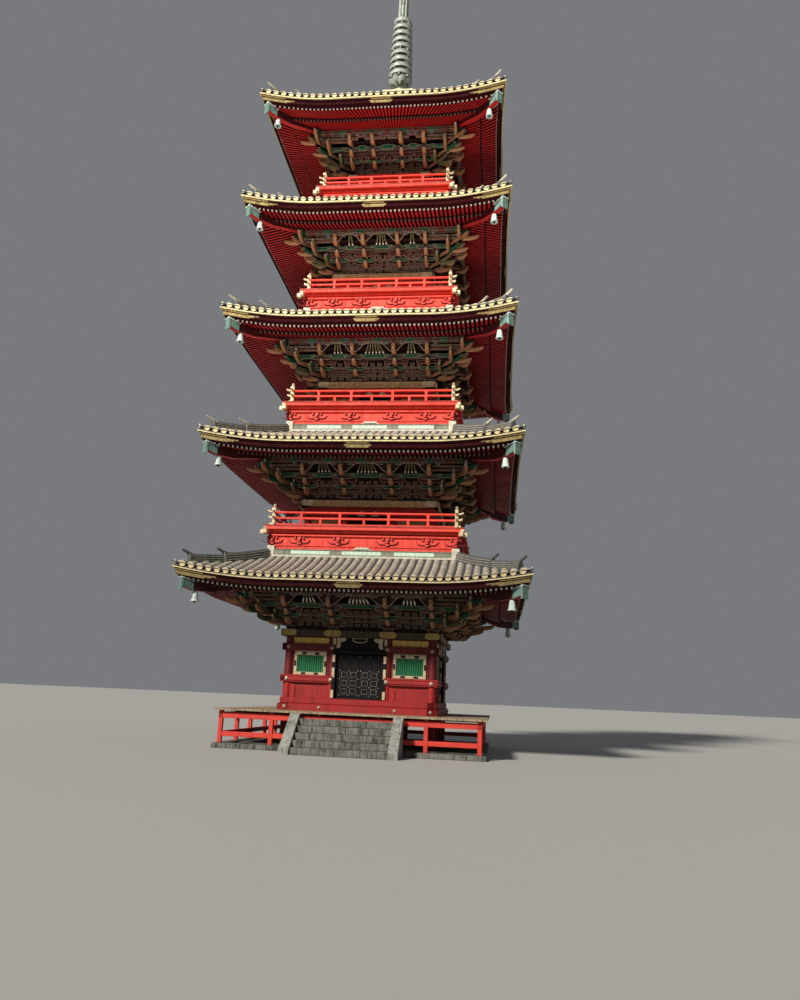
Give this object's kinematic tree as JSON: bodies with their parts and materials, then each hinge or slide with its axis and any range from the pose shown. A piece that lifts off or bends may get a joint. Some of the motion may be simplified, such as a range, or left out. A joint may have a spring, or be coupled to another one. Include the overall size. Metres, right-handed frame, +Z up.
{
  "type": "five-storeyed timber pagoda",
  "caption": "Square timber tower with stacked hollow storeys, bracketed eaves, railed balconies, a verandah, double entrance doors and a ringed bronze finial.",
  "frame": {"origin": "on the ground, under the tower's axis, at the centre of the footprint of the lowest roof", "axes": "+Z up, the front with the stair and the entrance doors faces -Y, +X to the right of someone facing the front"},
  "size_m": [11.16, 11.16, 34.9],
  "materials": {
    "vermilion": "vermilion paint, satin",
    "crimson": "dark red paint, satin",
    "polychrome": "many-coloured paint with white outlines",
    "lacquer": "black lacquer, glossy",
    "gilding": "gilded fittings, worn",
    "copper": "weathered copper tiles",
    "bronze": "verdigris bronze",
    "window_green": "green paint, matte",
    "stone": "weathered grey stone",
    "boards": "bare weathered boards"
  },
  "bodies": {
    "tower": {"stone_platform": "stone", "front_stair": "stone", "verandah": "crimson", "ground_floor": "boards", "ground_columns": "crimson", "floor_ledger": "crimson", "wall_sill": "crimson", "upper_rail": "crimson", "front_wall_left": "vermilion", "front_wall_right": "vermilion", "front_door_frame": "lacquer", "right_wall": "vermilion", "right_door": "lacquer", "back_wall": "vermilion", "back_door": "lacquer", "left_wall": "vermilion", "left_door": "lacquer", "storey1_brackets": "polychrome", "storey1_eaves": "crimson", "storey1_roof": "copper", "storey2_balcony": "vermilion", "storey2_railing": "vermilion", "storey2_wall": "crimson", "storey2_brackets": "polychrome", "storey2_eaves": "crimson", "storey2_roof": "copper", "storey3_balcony": "vermilion", "storey3_railing": "vermilion", "storey3_wall": "crimson", "storey3_brackets": "polychrome", "storey3_eaves": "crimson", "storey3_roof": "copper", "storey4_balcony": "vermilion", "storey4_railing": "vermilion", "storey4_wall": "crimson", "storey4_brackets": "polychrome", "storey4_eaves": "crimson", "storey4_roof": "copper", "storey5_balcony": "vermilion", "storey5_railing": "vermilion", "storey5_wall": "crimson", "storey5_brackets": "polychrome", "storey5_eaves": "crimson", "storey5_roof": "copper", "finial_base": "bronze", "finial_spire": "bronze"},
    "left_leaf": {"front_door_left": "lacquer"},
    "right_leaf": {"front_door_right": "lacquer"}
  },
  "joints": [
    {"name": "front_door_left_hinge", "type": "hinge", "parent": "tower", "child": "left_leaf", "pos_m": [-0.678, -2.483, 2.38], "axis": [0, 0, -1], "range_deg": [0, 90]},
    {"name": "front_door_right_hinge", "type": "hinge", "parent": "tower", "child": "right_leaf", "pos_m": [0.678, -2.483, 2.38], "axis": [0, 0, 1], "range_deg": [0, 90]}
  ]
}
